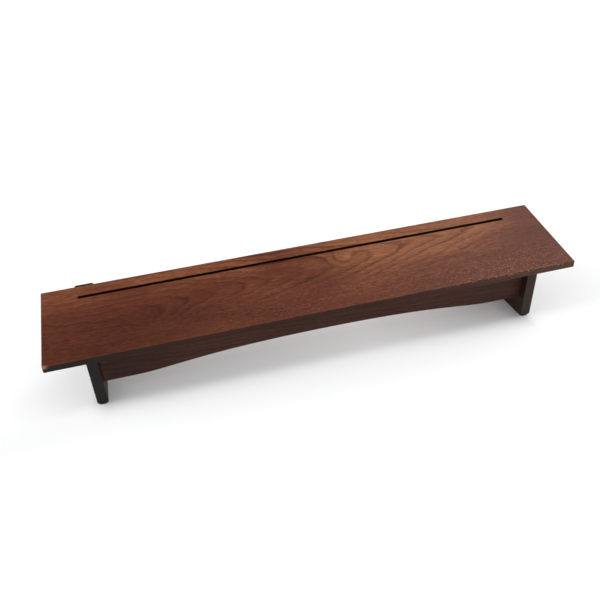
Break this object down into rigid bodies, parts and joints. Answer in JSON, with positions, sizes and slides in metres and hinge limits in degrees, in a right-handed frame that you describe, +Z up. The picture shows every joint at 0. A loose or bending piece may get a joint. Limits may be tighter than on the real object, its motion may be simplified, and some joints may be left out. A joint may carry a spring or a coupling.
{
  "type": "photo album stand",
  "caption": "Long, low wooden display stand: a thin top leaning towards the front, a display groove near its rear edge, side-panel legs and an arched front apron.",
  "frame": {"origin": "on the floor, at the middle of the stand's footprint box", "axes": "+Z up, +X along the top board to the right, -Y towards the front, where the top board is lowest"},
  "size_m": [0.6, 0.1338, 0.0967],
  "materials": {
    "top_wood": "dark reddish-brown stain, satin",
    "base_wood": "very dark brown stain, satin",
    "block_wood": "bare softwood",
    "dowel_wood": "bare beech",
    "screw_steel": "yellow-passivated zinc",
    "pad_rubber": "matt black"
  },
  "bodies": {
    "root": {"top_board": "top_wood", "left_leg": "base_wood", "right_leg": "base_wood", "front_apron": "base_wood", "rear_rail": "base_wood", "left_cleat": "block_wood", "right_cleat": "block_wood", "glue_block_left": "block_wood", "glue_block_centre": "block_wood", "glue_block_right": "block_wood", "apron_dowels": "dowel_wood", "rail_dowels": "dowel_wood", "cleat_top_screws": "screw_steel", "cleat_leg_screws": "screw_steel", "front_left_foot_pad": "pad_rubber", "front_right_foot_pad": "pad_rubber", "rear_left_foot_pad": "pad_rubber", "rear_right_foot_pad": "pad_rubber", "rear_edge_pad": "pad_rubber"}
  },
  "joints": []
}
